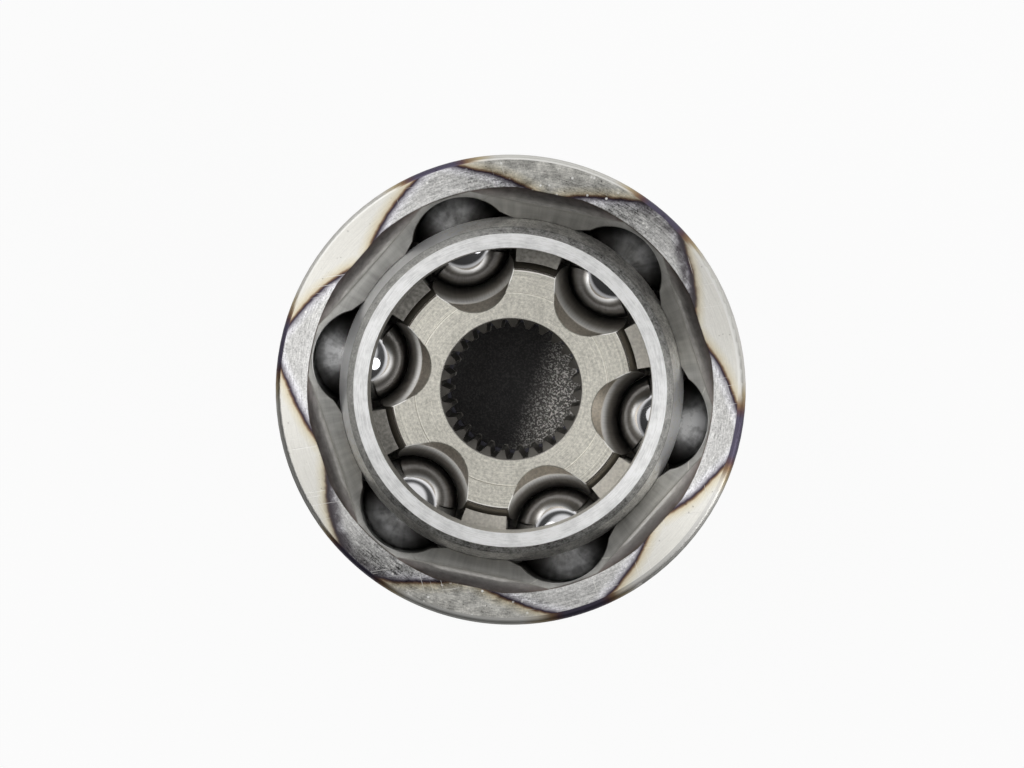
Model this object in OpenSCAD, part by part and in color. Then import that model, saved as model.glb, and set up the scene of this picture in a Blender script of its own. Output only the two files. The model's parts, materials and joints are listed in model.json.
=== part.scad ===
// Outer constant-velocity joint of a driven front wheel: a fixed ball joint with six balls.
// Millimetres. The origin lies on the joint's axis, in the shoulder face that bears on the
// wheel bearing. +Z points along the axis and out of the joint's mouth.

/* [Joint] */
// Diameter of each ball
ball_d = 17.46; // [17:0.02:17.9]
// Radius of the circle on which the ball centres lie
ball_circle_r = 29.2; // [29:0.1:29.5]
// Distance of each race's track centre from the joint centre, along the axis
track_offset = 3.5; // [3.2:0.1:3.7]
// Clearance between a ball and the floor of its track
track_gap = 0.25; // [0.22:0.01:0.35]
// Clearance between a ball and each long side of its window
window_gap = 0.03; // [0.02:0.01:0.08]
// Clearance between the spherical faces that slide on each other
sphere_gap = 0.08; // [0.04:0.01:0.15]
// Height of the joint centre above the shoulder face
centre_z = 42; // [41:0.5:46]

/* [Bell] */
// Outer radius of the bell
bell_r = 43; // [42.5:0.1:45]
// Height of the rim face above the joint centre
rim_h = 15.5; // [15:0.1:17]
// Rounding of the rim's outer edge
rim_round = 1; // [0.6:0.1:2]
// Radius of the inner edge of the flat rim face
rim_inner_r = 37.2; // [37:0.1:38]
// How far the rim face reaches in past that circle, half way between two tracks
rim_dip = 0.5; // [0.2:0.1:0.7]
// Distance from the axis to the six flats just inside the mouth
mouth_flat_r = 34.1; // [33.5:0.1:34.6]
// Radius that cuts off the corners between those flats
mouth_corner_r = 36.95; // [36.5:0.05:36.95]
// Height above the joint centre at which the 45 degree lead-in leaves the ground sphere
lead_h = 9.9; // [9.5:0.1:10.3]
// Width of the chamfer along each side of a track, at the mouth
track_edge = 1.6; // [1:0.1:1.7]
// Angle of the mouth's chamfer, measured from the rim face
mouth_chamfer_angle = 30; // [25:1:35]
// Radius of the rounded corner between the bell's side and its back
bell_corner_r = 32; // [30:0.5:34]
// Height of the joint centre above the start of that corner
bell_corner_drop = 4; // [3:0.5:5]
// Depth that the forged pocket behind the cage has beyond the ground sphere
pocket_depth = 1.6; // [1:0.1:2.2]
// Depth of the boot's seat in the bell's side
boot_seat_depth = 0.9; // [0.5:0.1:1.2]
// Width of the boot's seat
boot_seat_w = 8; // [6:0.5:9]
// Distance from the rim face to the boot's seat
boot_seat_from_rim = 6; // [5:0.5:7]

/* [Cage] */
// Outer radius of the spherical cage
cage_r = 33.07; // [33:0.01:33.3]
// Radius of the cage's spherical inner face
cage_inner_r = 25.1; // [25:0.05:25.6]
// Distance from the joint centre to each end face of the cage
cage_half_h = 15.5; // [15:0.1:16]
// Outer edge radius of the flat end ring
cage_ring_r = 28.6; // [28.2:0.1:29]
// Radius of the recess through which the inner race enters
cage_recess_r = 26.05; // [25.8:0.05:26.5]
// Height of the recess floor above the joint centre
cage_recess_h = 8.4; // [8:0.1:9]
// Half of the angle that each window takes up round the axis
window_half_angle = 20.6; // [20.4:0.1:21.5]
// Rounding of the windows' corners
window_round = 3; // [2:0.25:3.5]

/* [Inner race] */
// Height of the mouth-side face above the joint centre
race_top_h = 9.2; // [8.9:0.1:9.8]
// Distance from the joint centre to the inner race's back face
race_back_h = 12.5; // [12:0.1:13]
// Edge radius of the mouth-side face
race_face_r = 22.35; // [22:0.05:22.7]
// Radius of the slightly raised hub on the mouth-side face
race_hub_r = 17.9; // [17:0.1:19]
// Chamfer at the edge of the back face
race_back_chamfer = 0.8; // [0.5:0.1:1.2]
// Chamfer at the floor of each track, at the mouth-side face
race_track_chamfer = 0.55; // [0.4:0.05:1]
// Number of teeth in the shaft's spline
shaft_teeth = 27; // [24:1:30]
// Radius to the tips of the teeth in the bore
shaft_tip_r = 11.5; // [11.3:0.05:11.7]
// Radius to the spaces between the teeth in the bore
shaft_root_r = 12.95; // [12.7:0.05:13.1]
// Radius of the chamfer at each end of the bore
bore_chamfer_r = 13.15; // [13.15:0.05:13.5]

/* [Snap ring] */
// Outer radius of the snap ring
snap_r = 14; // [13.7:0.1:14.4]
// Radial width of the snap ring
snap_w = 1.7; // [1.3:0.1:1.8]
// Thickness of the snap ring
snap_t = 1.5; // [1.2:0.1:1.8]
// Angle of the snap ring's open gap
snap_open_angle = 40; // [25:5:60]
// Distance from the back face of the inner race to the middle of the ring's groove
snap_from_back = 3.2; // [2.8:0.1:4]
// Clearance between the snap ring and its groove
snap_gap = 0.1; // [0.05:0.05:0.2]

/* [Stub shaft] */
// Radius of the shoulder that bears on the wheel bearing
shoulder_r = 25; // [24:0.5:26]
// Fillet between the shoulder and the bell
shoulder_fillet = 5; // [4:0.5:6]
// Radius of the ground journal
journal_r = 15; // [14.5:0.25:16]
// Length from the shoulder face to the end of the journal
journal_l = 14; // [12:0.5:17]
// Width of the relief between the journal and the shoulder
relief_w = 2; // [1.5:0.25:2.5]
// Depth of that relief
relief_depth = 0.6; // [0.4:0.1:0.8]
// Number of teeth on the stub shaft
stub_teeth = 26; // [24:1:30]
// Radius to the tips of the stub's teeth
stub_tip_r = 13.5; // [13.3:0.1:13.8]
// Radius to the spaces between the stub's teeth
stub_root_r = 12.2; // [12:0.1:12.5]
// Length of the toothed part
stub_teeth_l = 38; // [34:1:42]
// Length of the plain neck between the teeth and the thread
neck_l = 3; // [2:0.5:4]
// Outer radius of the thread
thread_r = 11; // [10.5:0.25:11.5]
// Pitch of the thread
thread_pitch = 1.5; // [1.25:0.25:1.75]
// Number of turns of the thread
thread_turns = 16; // [14:1:20]
// Length of the plain tip beyond the thread
tip_l = 2.5; // [2:0.25:4]
// Radius of the centre hole's mouth
centre_hole_r = 4; // [3:0.25:5]
// Radius of the centre hole's straight part
centre_drill_r = 1.6; // [1.25:0.05:2]

/* [Hidden] */

$fn = 96;
tracks = 6;                                   // ball tracks round the joint
over = 1;                                     // how far a cut runs past the face that it opens
forged = "#5f5c59";
ground = "#a9a6a1";
hardened = "#77746f";
polished = "#d6d8da";

ball_r = ball_d / 2;
track_r = ball_r + track_gap;
track_arc_r = sqrt(ball_circle_r ^ 2 + track_offset ^ 2);
bell_sphere_r = cage_r + sphere_gap;
race_sphere_r = cage_inner_r - sphere_gap;

lead_r = sqrt(bell_sphere_r ^ 2 - lead_h ^ 2);

track_back_angle = 57;                        // how far each track runs towards the back
track_front_angle = 60;                       // and past the mouth

tooth_tip_part = 0.12;                        // half of a tooth's tip, as a part of the pitch
tooth_lap = 0.5;                              // how far the stub's teeth reach into its core
tooth_foot_part = 0.36;                       // half of a tooth's foot, as a part of the pitch
race_hub_step = 0.12;                         // height of the hub over the rest of that face
snap_groove_r = snap_r + snap_gap;
snap_z = centre_z - race_back_h + snap_from_back;

rim_z = centre_z + rim_h;
boot_seat_z = rim_z - boot_seat_from_rim - boot_seat_w;
pocket_drop = 18;                             // depth of the pocket's edge below the joint centre
fillet_lap = 0.02;                            // how far the shoulder's fillet laps over what it joins
shoulder_edge = 1;                            // chamfer at the rim of the shoulder
journal_edge = 0.8;                           // chamfer at the end of the journal
relief_r = journal_r - relief_depth;
teeth_end_z = -journal_l - stub_teeth_l;
thread_start_z = teeth_end_z - neck_l;
thread_end_z = thread_start_z - thread_turns * thread_pitch;
tip_z = thread_end_z - tip_l;
thread_depth = thread_pitch * 0.6134;         // depth of a metric external thread
thread_root_r = thread_r - thread_depth;
neck_r = thread_root_r - 0.2;
tip_edge = 1.2;                               // chamfer at the very end of the stub
centre_drill_l = 3 * centre_drill_r;

// Teeth with straight flanks round the axis; feet and tips are given as halves of a part of the pitch.
function tooth_points(teeth, foot_r, tip_r, foot_part, tip_part) =
    [for (i = [0 : teeth - 1])
        for (c = [[foot_r, -foot_part], [tip_r, -tip_part], [tip_r, tip_part], [foot_r, foot_part]])
            c[0] * [cos((i + c[1]) * 360 / teeth), sin((i + c[1]) * 360 / teeth)]];

// Half of the thread's section: one ridge per turn on its core, from the neck to the tip.
function thread_points() =
    [[0, thread_start_z],
     for (i = [0 : thread_turns - 1])
        for (c = [[0, 0], [0, 0.125], [thread_depth, 0.4375], [thread_depth, 0.5625], [0, 0.875]])
            [thread_root_r + c[0], thread_start_z - (i + c[1]) * thread_pitch],
     [thread_root_r, thread_end_z], [0, thread_end_z]];

// The path of one ball along its race: an arc about a centre on the axis, swept with a round section.
module track(centre_h, from_angle, to_angle) {
    translate([0, 0, centre_z + centre_h]) rotate([90, 0, 0])
        rotate_extrude(angle = to_angle - from_angle, start = from_angle)
            translate([track_arc_r, 0]) circle(track_r);
}

// Wedge that breaks both edges of an outer track. It is widest at the mouth and runs out further back.
module track_edges() {
    // sizes in the track's own section, where the ground sphere meets the lead-in
    edge_k = lead_r ^ 2 + (lead_h - track_offset) ^ 2;
    plain_out = (edge_k + track_arc_r ^ 2 - track_r ^ 2) / (2 * track_arc_r);
    wide = sqrt(track_r ^ 2 - (plain_out - track_arc_r) ^ 2) + track_edge;
    out = sqrt(edge_k - wide ^ 2);
    deep = 2 * track_edge;
    translate([0, 0, centre_z + track_offset]) rotate([90, 0, 0])
        rotate_extrude(angle = track_back_angle + track_front_angle, start = -track_back_angle)
            polygon([[out - track_edge, wide + track_edge], [out + deep, wide - deep],
                     [out + deep, deep - wide], [out - track_edge, -wide - track_edge]]);
}

// Cone that breaks the edge between an inner track's floor and the inner race's mouth-side face.
module race_track_edge() {
    lean = asin((race_top_h + track_offset) / (track_arc_r - track_r));
    slope = 0.25;
    half_l = 1.5 * race_track_chamfer / slope;
    translate([0, 0, centre_z - track_offset]) rotate([90, 0, 0]) rotate([0, 0, lean])
        translate([track_arc_r, 0, 0]) rotate([-90, 0, 0]) translate([0, 0, -half_l])
            cylinder(r1 = track_r + race_track_chamfer - slope * half_l,
                     r2 = track_r + race_track_chamfer + slope * half_l, h = 2 * half_l);
}

module ring_of(count) {
    for (i = [0 : count - 1]) rotate([0, 0, i * 360 / count]) children();
}

// The bell's outside, its shoulder and the fillet between them.
module bell_outside() {
    corner_x = bell_r - bell_corner_r;
    corner_z = centre_z - bell_corner_drop;
    fillet_x = shoulder_r + shoulder_fillet - fillet_lap;
    fillet_reach = bell_corner_r + shoulder_fillet - fillet_lap;
    fillet_z = corner_z - sqrt(fillet_reach ^ 2 - (fillet_x - corner_x) ^ 2);
    touch = bell_corner_r / fillet_reach;
    rotate_extrude() difference() {
        union() {
            // side and rim
            translate([0, corner_z]) square([bell_r, rim_h + bell_corner_drop - rim_round]);
            translate([0, rim_z - rim_round]) square([bell_r - rim_round, rim_round]);
            intersection() {
                translate([bell_r - rim_round, rim_z - rim_round]) circle(rim_round);
                translate([bell_r - rim_round, rim_z - rim_round]) square(2 * rim_round);
            }
            // rounded back
            intersection() {
                translate([corner_x, corner_z]) circle(bell_corner_r);
                translate([0, corner_z - bell_corner_r]) square([bell_r, bell_corner_r]);
            }
            // shoulder and the fillet that joins it to the back
            polygon([[0, 0], [shoulder_r - shoulder_edge, 0], [shoulder_r, shoulder_edge],
                     [shoulder_r, fillet_z],
                     [corner_x + touch * (fillet_x - corner_x), corner_z + touch * (fillet_z - corner_z)],
                     [corner_x, corner_z], [0, corner_z]]);
        }
        translate([fillet_x, fillet_z]) circle(shoulder_fillet);
        // boot seat with sloping sides
        translate([bell_r - boot_seat_depth, boot_seat_z])
            polygon([[0, 0], [2 * boot_seat_depth, -2 * boot_seat_depth],
                     [2 * boot_seat_depth, boot_seat_w + 2 * boot_seat_depth], [0, boot_seat_w]]);
    }
}

module stub() {
    // relief, journal and the core under the teeth
    rotate_extrude() polygon([
        [0, over], [relief_r, over], [relief_r, -relief_w], [journal_r, -relief_w - relief_depth],
        [journal_r, -journal_l + journal_edge], [journal_r - journal_edge, -journal_l],
        [stub_root_r, -journal_l], [stub_root_r, teeth_end_z], [neck_r, teeth_end_z],
        [neck_r, thread_start_z - over], [0, thread_start_z - over]]);
    // teeth with chamfered ends
    intersection() {
        translate([0, 0, teeth_end_z]) linear_extrude(stub_teeth_l)
            polygon(tooth_points(stub_teeth, stub_root_r - tooth_lap, stub_tip_r,
                                 tooth_foot_part, tooth_tip_part));
        translate([0, 0, teeth_end_z]) cylinder(r1 = stub_root_r, r2 = stub_root_r + stub_teeth_l,
                                                h = stub_teeth_l);
    }
    // thread and plain tip
    rotate_extrude() polygon(thread_points());
    rotate_extrude() polygon([
        [0, thread_end_z], [thread_root_r, thread_end_z], [thread_root_r, tip_z + tip_edge],
        [thread_root_r - tip_edge, tip_z], [0, tip_z]]);
}

module centre_hole() {
    cone_l = (centre_hole_r - centre_drill_r) * sqrt(3);
    translate([0, 0, tip_z]) {
        cylinder(r1 = centre_hole_r, r2 = centre_drill_r, h = cone_l);
        translate([0, 0, -over]) cylinder(r = centre_drill_r, h = over + cone_l + centre_drill_l);
    }
}

// The hexagonal prism whose six flats lie between the tracks, just inside the mouth.
module flats_prism() {
    long = 4 * mouth_flat_r;
    intersection_for(i = [0 : tracks / 2 - 1])
        rotate([0, 0, (i + 0.5) * 360 / tracks])
            translate([-mouth_flat_r, -long / 2, centre_z])
                cube([2 * mouth_flat_r, long, rim_h + 2 * over]);
}

// Everything that is open inside the bell, apart from the tracks.
module bell_cavity() {
    slope = tan(90 - mouth_chamfer_angle);
    chamfer_h = (rim_inner_r - mouth_flat_r) / slope + 2 * over;
    lead_l = rim_h - lead_h + 2 * over;
    pocket_r = bell_sphere_r + pocket_depth;
    // ground sphere on which the cage turns
    translate([0, 0, centre_z]) sphere(bell_sphere_r);
    // forged pocket behind it
    intersection() {
        translate([0, 0, centre_z]) sphere(pocket_r);
        translate([0, 0, centre_z - pocket_r - over])
            cylinder(r = pocket_r, h = pocket_r + over - pocket_drop);
    }
    // lead-in, held inside the six flats of the mouth
    intersection() {
        translate([0, 0, centre_z + lead_h - over])
            cylinder(r1 = lead_r - over, r2 = lead_r - over + lead_l, h = lead_l);
        translate([0, 0, centre_z]) cylinder(r = mouth_corner_r, h = rim_h + 2 * over);
        flats_prism();
    }
    // chamfer of the rim: a cone whose sides are flat between the tracks
    low_r = rim_inner_r + (over - chamfer_h) * slope;
    high_r = rim_inner_r + over * slope;
    flats_k = 1 / cos(180 / tracks);
    translate([0, 0, rim_z + over - chamfer_h]) intersection() {
        cylinder(r1 = low_r, r2 = high_r, h = chamfer_h);
        cylinder(r1 = (low_r - rim_dip) * flats_k, r2 = (high_r - rim_dip) * flats_k, h = chamfer_h,
                 $fn = tracks);
    }
}

module outer_race() {
    color(forged) difference() {
        union() {
            bell_outside();
            stub();
        }
        bell_cavity();
        ring_of(tracks) {
            track(track_offset, -track_back_angle, track_front_angle);
            track_edges();
        }
        centre_hole();
    }
}

// Opening for one ball: sides in planes through the axis, corners rounded at the outside.
module window() {
    half_h = ball_r + window_gap;
    half_w = (cage_r + over) * sin(window_half_angle);
    intersection() {
        rotate_extrude(angle = 2 * window_half_angle, start = -window_half_angle)
            translate([cage_inner_r / 2, -half_h]) square([cage_r, 2 * half_h]);
        rotate([0, 90, 0]) linear_extrude(cage_r + 2 * over) {
            square([2 * half_h, 2 * (half_w - window_round)], center = true);
            square([2 * (half_h - window_round), 2 * half_w], center = true);
            for (x = [-1, 1], y = [-1, 1])
                translate([x * (half_h - window_round), y * (half_w - window_round)])
                    circle(window_round);
        }
    }
}

module cage() {
    flare = 1.2;
    back_r = sqrt(cage_inner_r ^ 2 - cage_half_h ^ 2);
    wide = cage_r + over;
    color(hardened) translate([0, 0, centre_z]) difference() {
        intersection() {
            sphere(cage_r);
            // both end faces, with chamfered edges
            rotate_extrude() polygon([
                [0, -cage_half_h], [cage_ring_r, -cage_half_h],
                [wide, cage_ring_r - cage_half_h - wide + 2 * (wide - cage_ring_r)],
                [wide, cage_half_h - wide + cage_ring_r], [cage_ring_r, cage_half_h],
                [0, cage_half_h]]);
        }
        sphere(cage_inner_r);
        // recess through which the inner race enters
        translate([0, 0, cage_recess_h]) cylinder(r = cage_recess_r, h = cage_half_h);
        // flare of the back opening
        translate([0, 0, -cage_half_h - over])
            cylinder(r1 = back_r + flare + over, r2 = back_r, h = flare + over);
        ring_of(tracks) window();
    }
}

module inner_race() {
    wide = race_sphere_r + over;
    back_face_r = sqrt(race_sphere_r ^ 2 - race_back_h ^ 2) - race_back_chamfer;
    bore_edge = bore_chamfer_r - shaft_tip_r;
    color(ground) difference() {
        intersection() {
            translate([0, 0, centre_z]) sphere(race_sphere_r);
            translate([0, 0, centre_z]) rotate_extrude() polygon([
                [0, -race_back_h], [back_face_r, -race_back_h],
                [wide, -race_back_h + wide - back_face_r],
                [wide, race_top_h - race_hub_step - wide + race_face_r],
                [race_face_r, race_top_h - race_hub_step],
                [race_hub_r + race_hub_step, race_top_h - race_hub_step],
                [race_hub_r, race_top_h], [0, race_top_h]]);
        }
        ring_of(tracks) {
            track(-track_offset, -track_front_angle, track_front_angle);
            race_track_edge();
        }
        // splined bore
        translate([0, 0, centre_z - race_back_h - over])
            linear_extrude(race_back_h + race_top_h + 2 * over)
                polygon(tooth_points(shaft_teeth, shaft_tip_r, shaft_root_r,
                                     0.5 - tooth_tip_part, 0.5 - tooth_foot_part));
        // its end chamfers
        translate([0, 0, centre_z + race_top_h - bore_edge - over])
            cylinder(r1 = shaft_tip_r - over, r2 = bore_chamfer_r + over, h = bore_edge + 2 * over);
        translate([0, 0, centre_z - race_back_h - over])
            cylinder(r1 = bore_chamfer_r + over, r2 = shaft_tip_r - over, h = bore_edge + 2 * over);
        // groove of the snap ring
        translate([0, 0, snap_z - snap_t / 2 - snap_gap])
            cylinder(r = snap_groove_r, h = snap_t + 2 * snap_gap);
    }
}

// One ball, in the track with the given number.
module ball(number) {
    color(polished) rotate([0, 0, (number - 1) * 360 / tracks])
        translate([ball_circle_r, 0, centre_z]) sphere(ball_r);
}

module snap_ring() {
    color(hardened) rotate([0, 0, snap_open_angle / 2])
        rotate_extrude(angle = 360 - snap_open_angle)
            translate([snap_r - snap_w, snap_z - snap_t / 2]) square([snap_w, snap_t]);
}

outer_race();
cage();
inner_race();
ball(1);  // ball_1
ball(2);  // ball_2
ball(3);  // ball_3
ball(4);  // ball_4
ball(5);  // ball_5
ball(6);  // ball_6
snap_ring();
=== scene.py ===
"""Looks of a fixed ball-type CV joint: procedural steels, a pale stage, lamps and a camera."""
import json
from collections import namedtuple
from math import asin, cos, degrees, radians, sin

import bpy
from mathutils import Matrix, Vector


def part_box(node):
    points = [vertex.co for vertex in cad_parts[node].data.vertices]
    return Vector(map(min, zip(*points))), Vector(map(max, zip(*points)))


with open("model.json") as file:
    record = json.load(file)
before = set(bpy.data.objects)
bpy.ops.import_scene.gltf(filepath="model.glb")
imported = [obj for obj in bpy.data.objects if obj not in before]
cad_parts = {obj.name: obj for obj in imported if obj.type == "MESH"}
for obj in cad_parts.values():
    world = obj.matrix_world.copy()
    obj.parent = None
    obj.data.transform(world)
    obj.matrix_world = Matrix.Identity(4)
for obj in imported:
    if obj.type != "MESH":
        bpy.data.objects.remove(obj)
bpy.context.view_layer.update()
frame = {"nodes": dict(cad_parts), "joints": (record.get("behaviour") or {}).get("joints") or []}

MM = 0.001

# ---------------------------------------------------------------- places read from the frame

JOINTS = {joint["name"]: joint for joint in frame["joints"]}
CENTRE_Z = JOINTS["cage_tilt"]["pos_m"][2]
RIM_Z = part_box("outer_race")[1].z
BELL_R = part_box("outer_race")[1].x
STUB_END_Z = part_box("outer_race")[0].z
BALL_LOW, BALL_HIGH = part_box("ball_1")
BALL_CIRCLE_R = (BALL_LOW.x + BALL_HIGH.x) / 2
BALL_R = (BALL_HIGH.x - BALL_LOW.x) / 2
CAGE_TOP_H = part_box("cage")[1].z - CENTRE_Z
RACE_TOP_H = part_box("inner_race")[1].z - CENTRE_Z

TRACKS = 6
TRACK_STEP = radians(360 / TRACKS)

# Sizes of the solids that the finishes follow, as in the part's source.
TRACK_R = BALL_R + 0.25 * MM
TRACK_OFFSET = 3.5 * MM
TRACK_ARC_R = (BALL_CIRCLE_R ** 2 + TRACK_OFFSET ** 2) ** 0.5
TRACK_EDGE = 1.6 * MM                      # width of the chamfers along the outer tracks
MOUTH_R = 37.2 * MM
MOUTH_FLAT_R = 34.1 * MM
MOUTH_SLOPE = 1.732                        # fall of the mouth's chamfer is 1 in this
RIM_DIP = 0.5 * MM                         # the rim reaches in this far between two tracks
RIM_ROUND = 1.0 * MM
LEAD_H = 9.9 * MM                          # height where the lead-in leaves the sphere
SPHERE_R = 33.15 * MM                      # the bell's ground sphere
POCKET_H = -18.0 * MM                      # height where the sphere runs into the forged pocket
SIDE_LOW_Z = 37.0 * MM                     # the bell's straight side ends here
JOURNAL_END_Z = -14.0 * MM
CAGE_R = 33.07 * MM
CAGE_RING_R = 28.6 * MM
RACE_TRACK_EDGE = 2.2 * MM                 # length of the cone that opens an inner track
RACE_FACE_R = 22.35 * MM
RACE_MARK_R = 21.0 * MM                    # middle of two turned lines on the race's face
HUB_R = 17.9 * MM
HUB_STEP = 0.12 * MM
BORE_R = 13.3 * MM


# ---------------------------------------------------------------- node-tree arithmetic

class Value:
    """A number or a socket in a material's node tree, with ordinary arithmetic."""

    def __init__(self, tree, socket):
        self.tree = tree
        self.socket = socket

    def _math(self, operation, *others):
        node = self.tree.nodes.new("ShaderNodeMath")
        node.operation = operation
        for slot, item in zip(node.inputs, (self, *others)):
            connect(self.tree, item, slot)
        return Value(self.tree, node.outputs[0])

    def __add__(self, other):
        return self._math("ADD", other)

    def __sub__(self, other):
        return self._math("SUBTRACT", other)

    def __mul__(self, other):
        return self._math("MULTIPLY", other)

    def __truediv__(self, other):
        return self._math("DIVIDE", other)

    __radd__ = __add__

    def __rsub__(self, other):
        return self * -1 + other

    def root(self):
        return self._math("SQRT")

    def absolute(self):
        return self._math("ABSOLUTE")

    def cosine(self):
        return self._math("COSINE")

    def sine(self):
        return self._math("SINE")

    def angle_to(self, other):
        return self._math("ARCTAN2", other)

    def fold(self, half_period):
        """Runs up and down between 0 and half_period."""
        return self._math("PINGPONG", half_period)

    def most(self, other):
        return self._math("MAXIMUM", other)

    def rise(self, low, high):
        """0 below low and 1 above high, with a smooth step between them."""
        node = self.tree.nodes.new("ShaderNodeMapRange")
        node.interpolation_type = "SMOOTHSTEP"
        connect(self.tree, self, node.inputs["Value"])
        connect(self.tree, low, node.inputs["From Min"])
        connect(self.tree, high, node.inputs["From Max"])
        return Value(self.tree, node.outputs["Result"])

    def fall(self, low, high):
        """1 below low and 0 above high."""
        return 1 - self.rise(low, high)

    def near(self, place, reach, soft):
        """1 within reach of place, falling to 0 over the soft distance beyond it."""
        return (self - place).absolute().fall(reach, reach + soft)

    def ramp(self, stops):
        """The colour at this value; stops is a list of (value, colour)."""
        low = stops[0][0]
        span = stops[-1][0] - low
        node = self.tree.nodes.new("ShaderNodeValToRGB")
        elements = node.color_ramp.elements
        while len(elements) < len(stops):
            elements.new(0.5)
        for element, (place, colour) in zip(elements, stops):
            element.position = (place - low) / span
        for element, (place, colour) in zip(elements, stops):
            element.color = (*colour, 1)
        connect(self.tree, (self - low) / span, node.inputs["Fac"])
        return Value(self.tree, node.outputs["Color"])


def connect(tree, item, socket):
    """Links a Value to a socket, or sets the socket to a plain number or colour."""
    if isinstance(item, Value):
        tree.links.new(item.socket, socket)
    elif isinstance(item, (tuple, list)) and len(item) == 3 and socket.type == "RGBA":
        socket.default_value = (*item, 1)
    else:
        socket.default_value = item


EDGE_ROUND = 0.15 * MM                     # sharp edges are shaded as if rounded by this much,
FLATS_ROUND = 0.9 * MM                     # and these two by more
CONE_EDGE_ROUND = 0.4 * MM
Finish = namedtuple("Finish", "colour roughness height")   # height is a relief in millimetres


class Steel:
    """A metallic material under construction, with the coordinates of the part's own frame."""

    def __init__(self, name, edge_round=EDGE_ROUND):
        self.material = bpy.data.materials.new(name)
        self.material.use_nodes = True
        self.tree = self.material.node_tree
        self.shader = self.tree.nodes["Principled BSDF"]
        self.shader.inputs["Metallic"].default_value = 1.0
        coordinates = self.tree.nodes.new("ShaderNodeTexCoord")
        self.place = Value(self.tree, coordinates.outputs["Object"])
        split = self.tree.nodes.new("ShaderNodeSeparateXYZ")
        connect(self.tree, self.place, split.inputs[0])
        self.x, self.y, self.z = (Value(self.tree, out) for out in split.outputs)
        self.r = (self.x * self.x + self.y * self.y).root()
        self.h = self.z - CENTRE_Z
        self.rho = (self.r * self.r + self.h * self.h).root()
        self.azimuth = self.y.angle_to(self.x)
        self.off_track = self.azimuth.fold(TRACK_STEP / 2)
        self.out = self.r * self.off_track.cosine()    # along the middle of the nearest track
        self.side = self.r * self.off_track.sine()     # and square to it
        self.flat_out = self.r * (TRACK_STEP / 2 - self.off_track).cosine()
        self.rounded = self.tree.nodes.new("ShaderNodeBevel")
        self.rounded.samples = 4
        self.rounded.inputs["Radius"].default_value = edge_round
        self.normal = Value(self.tree, self.rounded.outputs["Normal"])

    def towards(self, angle):
        """Cosine of the azimuth between a point and a direction given in degrees."""
        return (self.x * cos(radians(angle)) + self.y * sin(radians(angle))) / self.r

    def track_surface(self, centre_h, reach=0.08 * MM):
        """1 on the tracks whose arcs have their centres at centre_h above the joint's centre."""
        high = self.h - centre_h
        across = (self.out * self.out + high * high).root() - TRACK_ARC_R
        return (across * across + self.side * self.side).root().near(TRACK_R, reach, reach)

    def track_edge(self):
        """1 on the sloping chamfers along both sides of the outer tracks, below the mouth's own."""
        meet = SPHERE_R ** 2 - LEAD_H ** 2 + (LEAD_H - TRACK_OFFSET) ** 2
        track_out = (meet + TRACK_ARC_R ** 2 - TRACK_R ** 2) / (2 * TRACK_ARC_R)
        wide = (TRACK_R ** 2 - (track_out - TRACK_ARC_R) ** 2) ** 0.5 + TRACK_EDGE
        high = self.h - TRACK_OFFSET
        across = (self.out * self.out + high * high).root()
        below_mouth = self.z.fall(RIM_Z - 3.0 * MM, RIM_Z - 2.0 * MM)
        chamfer = (across + self.side).near((meet - wide ** 2) ** 0.5 + wide, 0.1 * MM, 0.06 * MM)
        return chamfer * below_mouth

    def vector(self, x, y, z):
        """A vector of three numbers or sockets."""
        node = self.tree.nodes.new("ShaderNodeCombineXYZ")
        for socket, item in zip(node.inputs, (x, y, z)):
            connect(self.tree, item, socket)
        return Value(self.tree, node.outputs[0])

    def noise(self, scale, at=None, detail=2.0, roughness=0.5):
        """Noise between 0 and 1; scale is in cells per metre unless at has its own units."""
        node = self.tree.nodes.new("ShaderNodeTexNoise")
        connect(self.tree, at or self.place, node.inputs["Vector"])
        node.inputs["Scale"].default_value = scale
        node.inputs["Detail"].default_value = detail
        node.inputs["Roughness"].default_value = roughness
        return Value(self.tree, node.outputs["Fac"])

    def cells(self, scale):
        """Distance to the middle of the nearest cell, as a part of the cell's size."""
        node = self.tree.nodes.new("ShaderNodeTexVoronoi")
        connect(self.tree, self.place, node.inputs["Vector"])
        node.inputs["Scale"].default_value = scale
        return Value(self.tree, node.outputs["Distance"])

    def turned(self, across, rings, wander):
        """Marks of a turning tool: noise stretched round the axis and varying with `across`."""
        round_x, round_y = self.azimuth.cosine(), self.azimuth.sine()
        at = self.vector(round_x * wander, round_y * wander, across * rings)
        return self.noise(1.0, at, detail=3.0, roughness=0.65)

    def scratches(self, angle, scarce):
        """Sparse straight scratches across the axis, in a direction given in degrees."""
        along = self.x * cos(radians(angle)) + self.y * sin(radians(angle))
        beside = self.y * cos(radians(angle)) - self.x * sin(radians(angle))
        at = self.vector(along * 90.0, beside * 3200.0, self.z * 90.0)
        return self.noise(1.0, at, detail=1.0).rise(scarce, scarce + 0.05)

    def pits(self, scale, size):
        """Small round dents; size is their radius as a part of the cell."""
        return self.cells(scale).fall(size * 0.6, size)

    def edges(self):
        """Rises from 0 along the edges that the material rounds."""
        geometry = self.tree.nodes.new("ShaderNodeNewGeometry")
        dot = self.tree.nodes.new("ShaderNodeVectorMath")
        dot.operation = "DOT_PRODUCT"
        self.tree.links.new(self.rounded.outputs["Normal"], dot.inputs[0])
        self.tree.links.new(geometry.outputs["Normal"], dot.inputs[1])
        return 1 - Value(self.tree, dot.outputs["Value"])

    def mix(self, amount, first, second):
        """The colour `first` where amount is 0 and `second` where it is 1."""
        node = self.tree.nodes.new("ShaderNodeMix")
        node.data_type = "RGBA"
        connect(self.tree, amount, node.inputs["Factor"])
        connect(self.tree, first, node.inputs[6])
        connect(self.tree, second, node.inputs[7])
        return Value(self.tree, node.outputs[2])

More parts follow.
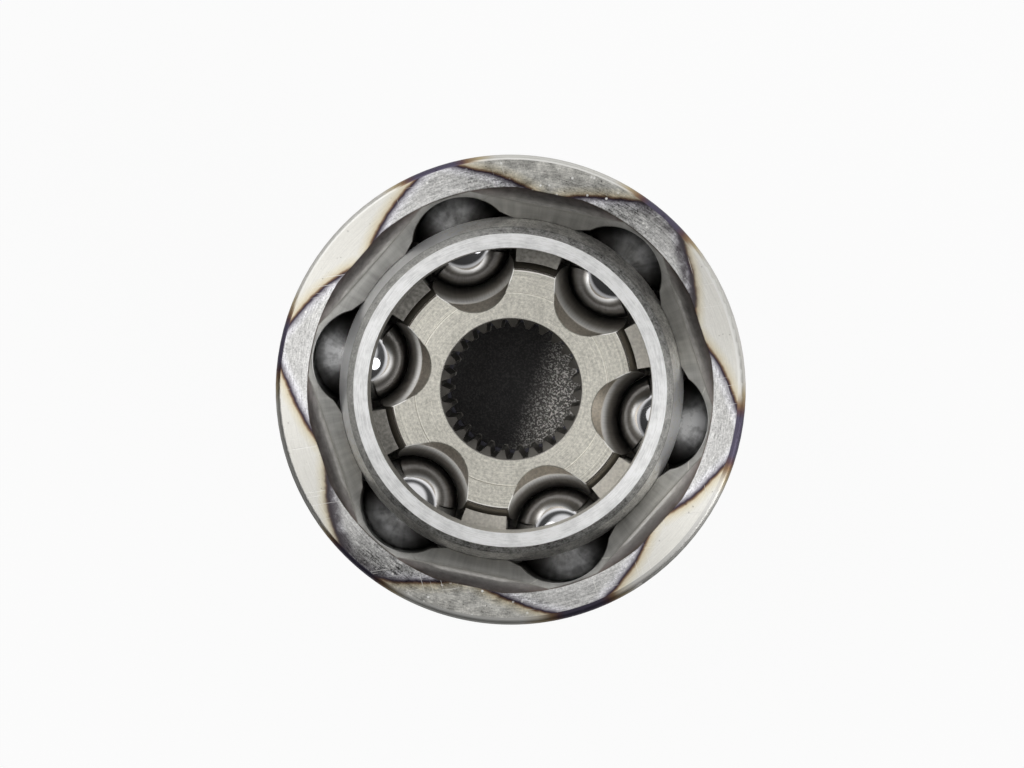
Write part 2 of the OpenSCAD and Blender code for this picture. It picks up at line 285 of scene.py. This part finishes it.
    def shade(self, colour, factor):
        """The colour made lighter or darker by a factor."""
        grey = self.vector(factor, factor, factor)
        node = self.tree.nodes.new("ShaderNodeMix")
        node.data_type = "RGBA"
        node.blend_type = "MULTIPLY"
        node.inputs["Factor"].default_value = 1.0
        connect(self.tree, colour, node.inputs[6])
        connect(self.tree, grey, node.inputs[7])
        return Value(self.tree, node.outputs[2])

    def lay(self, mask, under, over):
        """The finish `under` with the finish `over` laid on it where the mask is 1."""
        colour = self.mix(mask, under.colour, over.colour)
        roughness = (over.roughness - under.roughness) * mask + under.roughness
        height = (over.height - under.height) * mask + under.height
        return Finish(colour, roughness, height)

    def brush(self, amount):
        """Stretches the highlights across the turning marks, which run round the axis."""
        tangent = self.tree.nodes.new("ShaderNodeTangent")
        tangent.direction_type = "RADIAL"
        tangent.axis = "Z"
        self.shader.inputs["Anisotropic"].default_value = amount
        self.shader.inputs["Anisotropic Rotation"].default_value = 0.25
        self.tree.links.new(tangent.outputs[0], self.shader.inputs["Tangent"])

    def finish(self, finish):
        """Ends the material with its relief on slightly rounded edges."""
        connect(self.tree, finish.colour, self.shader.inputs["Base Color"])
        connect(self.tree, finish.roughness, self.shader.inputs["Roughness"])
        bump = self.tree.nodes.new("ShaderNodeBump")
        bump.inputs["Strength"].default_value = 1.0
        bump.inputs["Distance"].default_value = MM
        connect(self.tree, finish.height, bump.inputs["Height"])
        connect(self.tree, self.normal, bump.inputs["Normal"])
        self.tree.links.new(bump.outputs["Normal"], self.shader.inputs["Normal"])
        return self.material


def srgb(red, green, blue):
    """A linear colour from the usual 0 to 255 values."""
    parts = (value / 255 for value in (red, green, blue))
    return tuple(part / 12.92 if part <= 0.04045 else ((part + 0.055) / 1.055) ** 2.4
                 for part in parts)


# ---------------------------------------------------------------- the bell's finishes

# The bell's inside and outside part at rho = WALL_R + WALL_LEAN * h, which runs in its wall.
WALL_R = 39.45 * MM
WALL_LEAN = 0.093
SHOULDER_Z = 1.1 * MM                      # the ground shoulder ends and the forged back begins
FLATS_DEPTH = 4.5 * MM                     # the mouth's flats are dressed this far below the rim
HEAT_EDGE = radians(8.2)                   # half width of the grey crescent at HEAT_EDGE_R
HEAT_EDGE_R = 41.2 * MM
HEAT_SPREAD = 62.0                         # its growth inwards, in radians per metre
HEAT_LEAN = 0.37                           # sine of its edge's angle to the circles
SMOKE_ANGLE = 48.5                         # azimuth of the two tracks with the widest oxide
KNOCK_ANGLES = 86, 262                     # azimuths of the two lands that were knocked
CREAM = srgb(244, 242, 235)
STRAW = srgb(226, 213, 186)
BROWN = srgb(142, 116, 92)
VIOLET = srgb(70, 60, 74)
GREY = srgb(209, 208, 206)
NAVY = srgb(92, 87, 104)
SMOKE = srgb(84, 79, 82)
PALE = srgb(250, 248, 242)                 # freshly rubbed edges, and the painted highlight along the inner race's cones


def heat_tint(s):
    """Oxide colours on the rim, and where the grey crescent beside each track is."""
    wander = (s.noise(110.0) - 0.5) * (1.3 * MM) + (s.noise(900.0) - 0.5) * (0.35 * MM)
    edge = (HEAT_EDGE_R - s.r) * HEAT_SPREAD + HEAT_EDGE
    heat = (s.off_track - edge) * s.r * HEAT_LEAN + wander
    tint = heat.ramp([
        (-6.0 * MM, GREY), (-1.9 * MM, GREY), (-1.1 * MM, srgb(232, 231, 233)),
        (-0.7 * MM, srgb(206, 204, 209)), (-0.35 * MM, srgb(156, 153, 160)), (-0.08 * MM, VIOLET),
        (0.12 * MM, srgb(88, 72, 70)), (0.32 * MM, BROWN), (0.62 * MM, STRAW),
        (1.2 * MM, srgb(238, 232, 215)), (2.2 * MM, CREAM), (6.0 * MM, CREAM)])
    # beside two tracks that lie opposite, the oxide is wide and nearly black
    outer = s.r.rise(39.4 * MM, 41.6 * MM) * heat.fall(0.2 * MM, 0.8 * MM)
    dark_side = s.towards(SMOKE_ANGLE).absolute().rise(0.9, 0.98)
    smoke = heat.near(-0.5 * MM, 0.55 * MM, 1.2 * MM).most(outer) * dark_side
    tint = s.mix(smoke * s.noise(500.0, detail=4.0).rise(0.2, 0.6) * 0.9, tint, SMOKE)
    return tint, heat.fall(-0.7 * MM, -0.2 * MM)


def rim_finish(s):
    """Turned rim face: heat tint, fine rings, scratches, and dents where the rim was knocked."""
    rings = s.turned(s.r, 9000.0, 6.0)
    arcs = s.turned(s.r, 4200.0, 22.0)
    knocked = s.towards(KNOCK_ANGLES[0]).most(s.towards(KNOCK_ANGLES[1])).rise(0.84, 0.97)
    blotches = s.noise(420.0, detail=4.0).rise(0.35, 0.65)
    scratches = s.scratches(20, 0.7).most(s.scratches(118, 0.72))
    dents = s.pits(900.0, 0.16) * s.noise(300.0).rise(0.5, 0.62)
    tint, crescent = heat_tint(s)
    grain = s.noise(3400.0, detail=3.0, roughness=0.7)
    rough = crescent * 1.3 + knocked * 0.8 + 0.15
    # painted light: the lands on the side towards azimuth 205 are painted paler
    pale = s.towards(205).rise(0.8, 0.95) * 0.14
    light = 0.88 + pale + (rings - 0.5) * 0.3 + (arcs + grain - 1) * rough
    light = light - knocked * (blotches * 0.3 + 0.15)
    colour = s.shade(tint, light + crescent * s.r.fall(MOUTH_R, MOUTH_R + 1.6 * MM) * 0.14)
    colour = s.mix(scratches * 0.55, colour, srgb(250, 248, 244))
    flecks = s.pits(700.0, 0.2) * s.noise(260.0).rise(0.46, 0.6) * (crescent * 0.8).most(knocked)
    colour = s.mix(flecks, colour, srgb(250, 249, 246))
    colour = s.mix(dents * (0.25 + knocked * 0.5), colour, srgb(70, 64, 58))
    roughness = 0.36 + rings * 0.1 + knocked * 0.1 - scratches * 0.1
    height = rings * 0.006 + arcs * 0.004 + crescent * grain * 0.012
    return Finish(colour, roughness, height - dents * 0.03 - scratches * 0.01)


def bevel_finish(s):
    """Rounded outer edge of the rim: dark oxide beside each track, grey elsewhere, with painted
    shade on one side and at its foot, and a painted highlight along its top.
    """
    off_track = s.off_track * degrees(1) + (s.noise(160.0) - 0.5) * 3
    colour = off_track.ramp([
        (0, NAVY), (4.5, NAVY), (6.5, srgb(104, 82, 84)), (8, BROWN), (11, srgb(186, 172, 142)),
        (15, srgb(214, 212, 206)), (30, srgb(212, 211, 206))])
    rings = s.turned(s.z + s.r, 7000.0, 8.0)
    # painted shade: the lower part of the bevel is painted darker
    outer = s.z.fall(RIM_Z - 0.6 * RIM_ROUND, RIM_Z - 0.2 * RIM_ROUND)
    # painted shade: the side towards azimuth -100 is painted darker
    shaded = s.towards(-100).rise(-0.6, 0.8)
    light = 0.86 + rings * 0.35 - outer * 0.24 - shaded * 0.6
    # painted highlight: a pale line along the bevel's top, weaker on the painted-shade side
    painted_highlight_line = s.z.rise(RIM_Z - 0.12 * RIM_ROUND, RIM_Z - 0.04 * RIM_ROUND) * off_track.rise(8, 12)
    colour = s.mix(painted_highlight_line * (0.6 - shaded * 0.4), s.shade(colour, light), srgb(252, 251, 247))
    return Finish(colour, 0.3 + rings * 0.1, rings * 0.006)


def flats_line(s, reach=0.1 * MM, soft=1.3 * MM):
    """1 along the line where the mouth's chamfer meets the flats between the tracks."""
    return s.flat_out.near(MOUTH_FLAT_R, reach, soft)


def chamfer_finish(s):
    """Chamfer inside the rim: darker and browner at its top, with a painted highlight where it
    meets the flats and painted light on one side.
    """
    depth = (RIM_Z - s.z) / MM + (s.noise(260.0) - 0.5) * 0.5
    colour = depth.ramp([
        (0, srgb(98, 88, 82)), (0.3, srgb(116, 110, 108)), (0.8, srgb(132, 129, 127)),
        (1.8, srgb(140, 139, 135))])
    rings = s.turned(s.z + s.r, 5000.0, 10.0)
    streaks = s.turned(s.r, 1500.0, 26.0)
    # painted light: the side towards azimuth -30, which the key lamp lights, is painted lighter
    lit = s.towards(-30).rise(0.4, 1.0)
    # painted highlight along the line where the chamfer meets the flats
    wear_and_painted_light = flats_line(s, 0.45 * MM, 1.1 * MM)
    light = 0.15 + rings * 0.4 + streaks * 1.1 + wear_and_painted_light * (0.6 + streaks) + lit * 0.9
    return Finish(s.shade(colour, light), 0.4, rings * 0.012 + streaks * 0.02)


def lead_finish(s):
    """Ground lead-in cone and sphere: mid grey with faint streaks down the slope."""
    down = s.vector(s.azimuth.cosine() * 26.0, s.azimuth.sine() * 26.0, s.z * 120.0)
    streaks = s.noise(1.0, down, detail=3.0, roughness=0.6)
    rings = s.turned(s.z, 7000.0, 6.0)
    # flats_line adds a painted highlight along the flats
    light = 0.3 + streaks * 0.7 + rings * 0.3 + flats_line(s) * 0.3
    return Finish(s.shade(srgb(188, 187, 183), light), 0.36 + streaks * 0.1,
                  rings * 0.006 + streaks * 0.012)


def track_edge_finish(s):
    """Cut chamfers along the tracks: darker than the cone that they break."""
    lines = s.turned(s.z, 4000.0, 14.0)
    return Finish(s.shade(srgb(70, 68, 66), 0.6 + lines * 0.5), 0.42, lines * 0.008)


def outer_track_finish(s):
    """Hardened and ground ball tracks: a painted highlight along the floor, painted brighter on the
    tracks towards azimuths 0 and 180, and dark on the flanks.
    """
    lines = s.noise(1.0, s.vector(s.x * 900.0, s.y * 900.0, s.z * 40.0), detail=3.0)
    blotches = s.noise(230.0, detail=3.0, roughness=0.6).rise(0.34, 0.66)
    # painted highlight along each track's floor, stronger on the tracks towards azimuths 0 and 180
    floor = s.side.fall(2.4 * MM, 8.4 * MM) * (s.towards(0).absolute() * 0.7 + 0.3)
    bright = floor * (0.15 + lines * 0.9 + blotches * 0.6)
    colour = s.mix(bright, srgb(72, 70, 67), srgb(250, 250, 248))
    return Finish(colour, 0.42 + lines * 0.1, lines * 0.006)


def pocket_finish(s):
    """Forged pocket behind the cage: black scale, coarse, with painted glints."""
    grain = s.cells(2600.0)
    lumps = s.noise(500.0, detail=3.0, roughness=0.6)
    flecks = s.noise(2500.0, detail=2.0, roughness=0.7).rise(0.5, 0.6)
    # painted light: towards one side the scale is painted paler, and its painted glints gather
    # there
    lit = (s.towards(-8) * s.r).rise(1.5 * MM, 9.0 * MM)
    dark = s.mix(lit, srgb(66, 65, 65), srgb(120, 117, 113))
    # the flecks are painted glints
    colour = s.mix(flecks * (lit * 0.9 + 0.04), s.shade(dark, 0.5 + lumps), srgb(250, 247, 241))
    return Finish(colour, 0.4 + lumps * 0.1, grain * 0.03 + lumps * 0.05)


def skirt_finish(s):
    """Bell's outside: turned side and boot seat, forged back with a brown-grey scale."""
    rings = s.turned(s.z, 3000.0, 5.0)
    feed = s.turned(s.z, 9000.0, 3.0)
    film = s.noise(60.0, detail=4.0)
    side = Finish(s.shade(srgb(164, 160, 152), 0.66 + rings * 0.3 + feed * 0.16 + film * 0.16),
                  0.3 + rings * 0.14, rings * 0.02 + feed * 0.008)
    lumps = s.noise(420.0, detail=5.0, roughness=0.62)
    grain = s.noise(2600.0, detail=2.0)
    rust = s.noise(85.0, detail=5.0, roughness=0.6).rise(0.56, 0.72)
    scale = s.shade(srgb(98, 93, 87), 0.6 + lumps * 0.5 + grain * 0.25)
    scale = s.mix(rust * 0.45, scale, srgb(112, 80, 56))
    back = Finish(scale, 0.46 + lumps * 0.16 + rust * 0.14, lumps * 0.12 + grain * 0.02)
    return s.lay(s.z.fall(SIDE_LOW_Z - 0.3 * MM, SIDE_LOW_Z + 0.2 * MM), side, back)


def stub_finish(s):
    """Stub shaft: ground journal and shoulder, rolled teeth, and a rolled thread."""
    rings = s.turned(s.z + s.r, 8000.0, 4.0)
    ground = Finish(s.shade(srgb(206, 203, 198), 0.76 + rings * 0.3),
                    0.2 + rings * 0.12, rings * 0.004)
    film = s.noise(140.0, detail=4.0)
    grain = s.noise(1800.0, detail=2.0)
    rolled = Finish(s.shade(srgb(132, 128, 122), 0.6 + film * 0.4 + grain * 0.2),
                    0.34 + film * 0.12, grain * 0.012)
    return s.lay(s.z.fall(JOURNAL_END_Z - 0.1 * MM, JOURNAL_END_Z + 0.02 * MM), ground, rolled)


def wear_and_highlight_edges(s, finish, amount, colour):
    """The finish with its sharp edges painted lighter: partly wear, partly a painted highlight
    along the edges.
    """
    wear_and_painted_light = s.edges().rise(0.02, 0.2) * s.noise(500.0, detail=3.0).rise(0.25, 0.6) * amount
    return Finish(s.mix(wear_and_painted_light, finish.colour, colour), finish.roughness, finish.height)


def on_chamfer(s):
    """1 on the mouth's chamfer: its cone, and the dips between the tracks."""
    fall = (RIM_Z - s.z) * MOUTH_SLOPE
    cone = (s.r + fall).near(MOUTH_R, 0.06 * MM, 0.08 * MM)
    dips = (s.flat_out + fall).near(MOUTH_R - RIM_DIP, 0.06 * MM, 0.08 * MM)
    return cone.most(dips) * s.r.rise(MOUTH_FLAT_R - 0.3 * MM, MOUTH_FLAT_R - 0.1 * MM)


def wear_dips_round(s, chamfer):
    """Shades the dips like the cone beside them, and runs the flats softly into them."""
    near_flats = flats_line(s) * s.z.fall(RIM_Z - 1.3 * MM, RIM_Z - 0.9 * MM)
    connect(s.tree, near_flats * FLATS_ROUND + EDGE_ROUND, s.rounded.inputs["Radius"])
    level = s.vector(s.azimuth.cosine() * -MOUTH_SLOPE, s.azimuth.sine() * -MOUTH_SLOPE, 1.0)
    below_rim = s.z.fall(RIM_Z - 0.05 * MM, RIM_Z - 0.02 * MM)
    above_flats = s.z.rise(RIM_Z - 1.3 * MM, RIM_Z - 1.0 * MM)
    s.normal = s.mix(chamfer * below_rim * above_flats, s.normal, level)


def mouth_finish(s, chamfer):
    """Inside of the bell: lead-in and sphere, tracks, forged pocket, chamfer and flats."""
    inside = s.lay(s.track_edge(), lead_finish(s), track_edge_finish(s))
    inside = s.lay(s.track_surface(TRACK_OFFSET), inside, outer_track_finish(s))
    behind = s.h.fall(POCKET_H - 0.4 * MM, POCKET_H + 0.4 * MM)
    pocket = s.rho.rise(SPHERE_R + 0.3 * MM, SPHERE_R + 0.6 * MM) * behind
    inside = s.lay(pocket, inside, pocket_finish(s))
    inside = s.lay(chamfer, inside, chamfer_finish(s))
    flat_low_z = RIM_Z - FLATS_DEPTH
    flat = s.flat_out.near(MOUTH_FLAT_R, 0.04 * MM, 0.04 * MM) * \
        s.z.rise(flat_low_z - 0.1 * MM, flat_low_z + 0.1 * MM)
    return s.lay(flat, inside, Finish(srgb(176, 174, 169), 0.6, 0.0))


def bell_steel():
    """Outer race: every zone of the forging, the machining and the hardening."""
    s = Steel("bell_steel")
    chamfer = on_chamfer(s)
    wear_dips_round(s, chamfer)
    inside = mouth_finish(s, chamfer)
    on_stub = s.z.fall(SHOULDER_Z - 0.2 * MM, SHOULDER_Z + 0.2 * MM)
    outside = s.lay(on_stub, skirt_finish(s), stub_finish(s))
    past_wall = (s.rho - s.h * WALL_LEAN).rise(WALL_R - 0.15 * MM, WALL_R + 0.15 * MM)
    whole = s.lay(past_wall, inside, outside)
    on_rim = s.z.rise(RIM_Z - 0.1 * MM, RIM_Z - 0.03 * MM)
    whole = s.lay(on_rim, whole, rim_finish(s))
    # the bevel was cut off centre, so it is wider on one side
    bevel_r = BELL_R - RIM_ROUND - s.towards(-30).rise(-0.3, 1.0) * (0.6 * MM)
    on_bevel = (s.r - bevel_r).rise(0.0, 0.15 * MM) * \
        s.z.rise(RIM_Z - RIM_ROUND - 0.2 * MM, RIM_Z - RIM_ROUND + 0.2 * MM)
    whole = s.lay(on_bevel, whole, bevel_finish(s))
    s.brush(0.78)
    return s.finish(wear_and_highlight_edges(s, whole, 0.5, srgb(226, 222, 212)))


# ---------------------------------------------------------------- the other steels

def cage_outside(s):
    """Hardened shell of the cage and the chamfers of its rings, mottled, and painted lighter on the
    sides towards the lamps.
    """
    film = s.noise(130.0, detail=4.0)
    rings = s.turned(s.z, 6000.0, 6.0)
    scuffs = s.noise(700.0, detail=4.0, roughness=0.7)
    mottle = s.noise(2400.0, detail=3.0, roughness=0.7) + scuffs - 1
    # painted light: lighter towards azimuths 165 and 0, where the lamps fall
    wear_and_painted_light = s.towards(165).rise(0.2, 0.95) + s.towards(0).rise(0.8, 1.0) * 0.8
    light = film * 0.4 + rings * 0.4 + mottle * 1.3 + 0.3 + wear_and_painted_light * 1.2
    shell = Finish(s.shade(srgb(214, 212, 207), light),
                   0.42 + film * 0.1, rings * 0.01 + mottle * 0.012)
    light = 0.1 + rings * 0.5 + mottle * 0.9 + wear_and_painted_light * 0.4
    chamfer = Finish(s.shade(srgb(226, 225, 221), light), 0.5, rings * 0.016 + mottle * 0.01)
    return shell, chamfer


def cage_cut(s):
    """Windows, recesses and bore of the cage: pale and matt, as cut after the hardening."""
    # painted light: the recess floors on the side towards azimuth -13, which the key lamp lights,
    # are painted lighter
    lit = s.towards(-13).rise(-0.5, 0.7)
    light = lit * 0.5 + s.noise(130.0, detail=4.0) * 0.2 + s.noise(1800.0) * 0.5
    return Finish(s.shade(srgb(238, 234, 225), light), 0.6, s.noise(3000.0) * 0.008)


def cage_ring(s):
    """Ground end faces of the cage."""
    patches = s.noise(260.0, detail=5.0, roughness=0.65)
    circles = s.turned(s.r, 5600.0, 10.0)
    return Finish(s.shade(srgb(244, 244, 243), 0.27 + patches * 0.8 + circles * 0.7),
                  0.56 + patches * 0.1, circles * 0.008 + s.noise(3000.0) * 0.004)


def cage_steel():
    """Cage: bright ground end rings, dark hardened shell, pale recess floors."""
    s = Steel("cage_steel")
    shell, chamfer = cage_outside(s)
    whole = s.lay(s.rho.fall(CAGE_R - 0.5 * MM, CAGE_R - 0.3 * MM), shell, cage_cut(s))
    height = s.h.absolute()
    whole = s.lay((s.r + height).near(CAGE_RING_R + CAGE_TOP_H, 0.1 * MM, 0.1 * MM), whole, chamfer)
    whole = s.lay(height.rise(CAGE_TOP_H - 0.1 * MM, CAGE_TOP_H - 0.03 * MM), whole, cage_ring(s))
    s.brush(0.6)
    return s.finish(wear_and_highlight_edges(s, whole, 0.6, srgb(232, 230, 224)))


def race_cone_depth(s):
    """Distance along an inner track behind the end of the cone that opens it."""
    lean = asin((RACE_TOP_H + TRACK_OFFSET) / (TRACK_ARC_R - TRACK_R))
    return s.out * sin(lean) - (s.h + TRACK_OFFSET) * cos(lean) - RACE_TRACK_EDGE


def race_face(s, grain, film):
    """Satin face towards the mouth, with the hub's edge and the marks of the turning tool."""
    rings = s.turned(s.r, 7000.0, 4.0)
    # painted highlight along the hub's edge
    hub_edge = s.r.near(HUB_R, 0.14 * MM, 0.08 * MM)
    bright_mark, dark_mark = (s.r.near(RACE_MARK_R + apart, 0.04 * MM, 0.06 * MM)
                              for apart in (-0.2 * MM, 0.2 * MM))
    light = rings * 0.8 + grain * 1.6 + film * 0.3 - 0.35
    light = light + hub_edge * 0.4 + bright_mark * 0.16 - dark_mark * 0.2
    face = Finish(s.shade(srgb(202, 199, 189), light),
                  0.42 + grain * 0.08, rings * 0.014 + grain * 0.02)
    # its outer edge is dark, and nicked bright in places
    edge = Finish(s.shade(srgb(84, 79, 74), 0.8 + film * 0.3), 0.25, grain * 0.002)
    face = s.lay(s.r.rise(RACE_FACE_R - 0.32 * MM, RACE_FACE_R - 0.24 * MM), face, edge)
    nicked = s.r.near(RACE_FACE_R - 0.4 * MM, 0.05 * MM, 0.08 * MM) * \
        s.noise(170.0, detail=3.0).rise(0.4, 0.6)
    return s.lay(nicked * 0.9, face, Finish(PALE, 0.45, 0.0))


def race_track(s, below_cone):
    """Inner tracks, painted bright towards the cones that open them to the mouth, as a painted
    reflection.
    """
    lines = s.noise(1.0, s.vector(s.side * 3500.0, s.z * 60.0, 0.0), detail=3.0)
    colour = s.mix(below_cone.fall(0.2 * MM, 3.0 * MM), srgb(172, 168, 161), srgb(255, 254, 250))
    return Finish(s.shade(colour, 0.7 + lines * 0.4), 0.34, lines * 0.004)


def race_bore(s, grain):
    """Splined bore: dark, and paler towards the lamps."""
    light = 0.4 + s.noise(600.0, detail=3.0) + s.towards(-25).rise(-0.2, 1.0) * 0.9
    return Finish(s.shade(srgb(118, 115, 110), light), 0.42, grain * 0.012)


def race_steel():
    """Inner race: satin turned face, polished tracks with bright-edged cones, dark bore."""
    s = Steel("race_steel")
    grain = s.noise(1900.0, detail=4.0, roughness=0.75)
    film = s.noise(150.0, detail=3.0)
    off_face = (s.h + HUB_STEP).fall(RACE_TOP_H - 0.08 * MM, RACE_TOP_H - 0.03 * MM)
    ground = Finish(s.shade(srgb(146, 141, 133), 0.8 + film * 0.3), 0.3, grain * 0.004)
    whole = s.lay(off_face, race_face(s, grain, film), ground)
    below_cone = race_cone_depth(s)
    whole = s.lay(s.track_surface(-TRACK_OFFSET), whole, race_track(s, below_cone))
    off_face = off_face * s.r.fall(RACE_FACE_R - 0.25 * MM, RACE_FACE_R - 0.05 * MM)
    # painted light: the cones towards azimuth -20 are painted lighter
    light = grain * 1.3 + 0.3 + s.towards(-20).rise(0.7, 1.0) * 0.55
    cone = Finish(s.shade(srgb(198, 190, 178), light), 0.4, grain * 0.006)
    whole = s.lay(below_cone.fall(-0.04 * MM, 0.04 * MM) * off_face, whole, cone)
    # painted highlight along the edge of each cone
    cone_edge = below_cone.near(0.1 * MM, 0.2 * MM, 0.12 * MM) * off_face
    connect(s.tree, cone_edge * CONE_EDGE_ROUND + EDGE_ROUND, s.rounded.inputs["Radius"])
    whole = s.lay(cone_edge, whole, Finish(PALE, 0.5, 0.0))
    whole = s.lay(s.r.fall(BORE_R - 0.12 * MM, BORE_R - 0.04 * MM), whole, race_bore(s, grain))
    s.brush(0.3)
    return s.finish(wear_and_highlight_edges(s, whole, 1.0, srgb(255, 253, 246)))


def ball_steel():
    """Balls: polished, with hair scratches and a faint film of oil."""
    s = Steel("ball_steel", edge_round=0.02 * MM)
    hair = s.scratches(35, 0.74).most(s.scratches(150, 0.76))
    film = s.noise(220.0, detail=3.0)
    colour = s.shade(srgb(226, 226, 228), 0.9 + film * 0.12)
    return s.finish(Finish(colour, 0.05 + film * 0.05 + hair * 0.12, hair * -0.001))


def spring_steel():
    """Snap ring: blued wire with a sheared surface."""
    s = Steel("spring_steel")
    drawn = s.turned(s.z + s.r, 6000.0, 3.0)
    colour = s.shade(srgb(84, 84, 92), 0.7 + drawn * 0.5)
    return s.finish(Finish(colour, 0.34 + drawn * 0.1, drawn * 0.01))


def dress(material, *nodes):
    """Gives CAD nodes their material."""
    for node in nodes:
        slots = frame["nodes"][node].data.materials
        slots.clear()
        slots.append(material)


dress(bell_steel(), "outer_race")
dress(cage_steel(), "cage")
dress(race_steel(), "inner_race")
dress(ball_steel(), *(f"ball_{number}" for number in range(1, TRACKS + 1)))
dress(spring_steel(), "snap_ring")


# ---------------------------------------------------------------- stage, lamps and camera

VIEW_ROLL = radians(11.5)                  # turn of the picture about the joint's axis
VIEW_RIGHT = Vector((cos(VIEW_ROLL), sin(VIEW_ROLL), 0))
VIEW_UP = Vector((-sin(VIEW_ROLL), cos(VIEW_ROLL), 0))
AXIS = Vector((0, 0, 1))
RIM_MIDDLE = Vector((0, 0, RIM_Z))


def in_picture(angle, tilt):
    """A direction tilted from the axis towards an angle in the picture, both in degrees."""
    beside = VIEW_RIGHT * cos(radians(angle)) + VIEW_UP * sin(radians(angle))
    return (AXIS * cos(radians(tilt)) + beside * sin(radians(tilt))).normalized()


def lamp(name, angle, tilt, distance, size, power):
    """A round soft lamp that faces the rim from a direction in the picture."""
    data = bpy.data.lights.new(name, "AREA")
    data.shape = "DISK"
    data.size = size
    data.energy = power
    obj = bpy.data.objects.new(name, data)
    towards = in_picture(angle, tilt)
    obj.location = RIM_MIDDLE + towards * distance
    obj.rotation_euler = (-towards).to_track_quat("-Z", "Y").to_euler()
    bpy.context.scene.collection.objects.link(obj)


def add_floor():
    """White paper under the stub's end, which glows enough to stay white and keeps the shadow."""
    half = 3.0                                         # of the paper's side
    z = STUB_END_Z - 0.5 * MM
    corners = [(-half, -half, z), (half, -half, z), (half, half, z), (-half, half, z)]
    mesh = bpy.data.meshes.new("floor")
    mesh.from_pydata(corners, [], [(0, 1, 2, 3)])
    floor = bpy.data.objects.new("floor", mesh)
    bpy.context.scene.collection.objects.link(floor)
    material = bpy.data.materials.new("floor_paper")
    material.use_nodes = True
    tree = material.node_tree
    shader = tree.nodes["Principled BSDF"]
    shader.inputs["Base Color"].default_value = (0.9, 0.9, 0.9, 1)
    shader.inputs["Roughness"].default_value = 0.9
    glow = tree.nodes.new("ShaderNodeEmission")
    glow.inputs["Strength"].default_value = 1.0
    paths = tree.nodes.new("ShaderNodeLightPath")
    camera, glossy, through = (Value(tree, paths.outputs[f"Is {kind} Ray"])
                               for kind in ("Camera", "Glossy", "Transmission"))
    blend = tree.nodes.new("ShaderNodeMixShader")
    connect(tree, camera.most(glossy).most(through) * 0.92, blend.inputs["Fac"])
    tree.links.new(shader.outputs[0], blend.inputs[1])
    tree.links.new(glow.outputs[0], blend.inputs[2])
    tree.links.new(blend.outputs[0], tree.nodes["Material Output"].inputs["Surface"])
    mesh.materials.append(material)


def add_world():
    """A studio: pale walls near the floor, a darker band above them and a bright ceiling."""
    world = bpy.data.worlds.new("studio")
    bpy.context.scene.world = world
    world.use_nodes = True
    tree = world.node_tree
    coordinates = tree.nodes.new("ShaderNodeTexCoord")
    split = tree.nodes.new("ShaderNodeSeparateXYZ")
    tree.links.new(coordinates.outputs["Generated"], split.inputs[0])
    height, above, beside = (
        sum(Value(tree, out) * part for out, part in zip(split.outputs, direction))
        for direction in (AXIS, in_picture(75, 15), in_picture(60, 90)))
    walls = height.fall(0.34, 0.46) * 0.8
    ceiling = above.rise(0.7, 0.82) * 0.74
    background = tree.nodes["Background"]
    background.inputs["Color"].default_value = (1, 1, 1, 1)
    connect(tree, (walls + ceiling + 0.08) * (beside * 0.4 + 0.85), background.inputs["Strength"])


def add_camera():
    """Looks almost straight into the mouth, from a little to the right and above."""
    distance = 0.45                                    # from the rim
    picture_width = 186.73664 * MM                     # what the picture spans at the rim
    aside, above = 0.42 * MM, 1.22 * MM                # the picture's middle from the rim's
    back = in_picture(45, 3)
    aim = RIM_MIDDLE + VIEW_RIGHT * aside + VIEW_UP * above
    right = VIEW_UP.cross(back).normalized()
    up = back.cross(right)
    data = bpy.data.cameras.new("camera")
    data.sensor_width = 36.0
    data.lens = data.sensor_width * distance / picture_width
    data.clip_start = 0.01
    camera = bpy.data.objects.new("camera", data)
    camera.matrix_world = Matrix.Translation(aim + back * distance) @ \
        Matrix((right, up, back)).transposed().to_4x4()
    bpy.context.scene.collection.objects.link(camera)
    bpy.context.scene.camera = camera


add_floor()
add_world()
lamp("key", angle=155, tilt=28, distance=1.2, size=1.0, power=2.4)
lamp("fill", angle=-25, tilt=42, distance=1.2, size=0.6, power=2.6)
add_camera()
bpy.context.scene.view_settings.view_transform = "Standard"
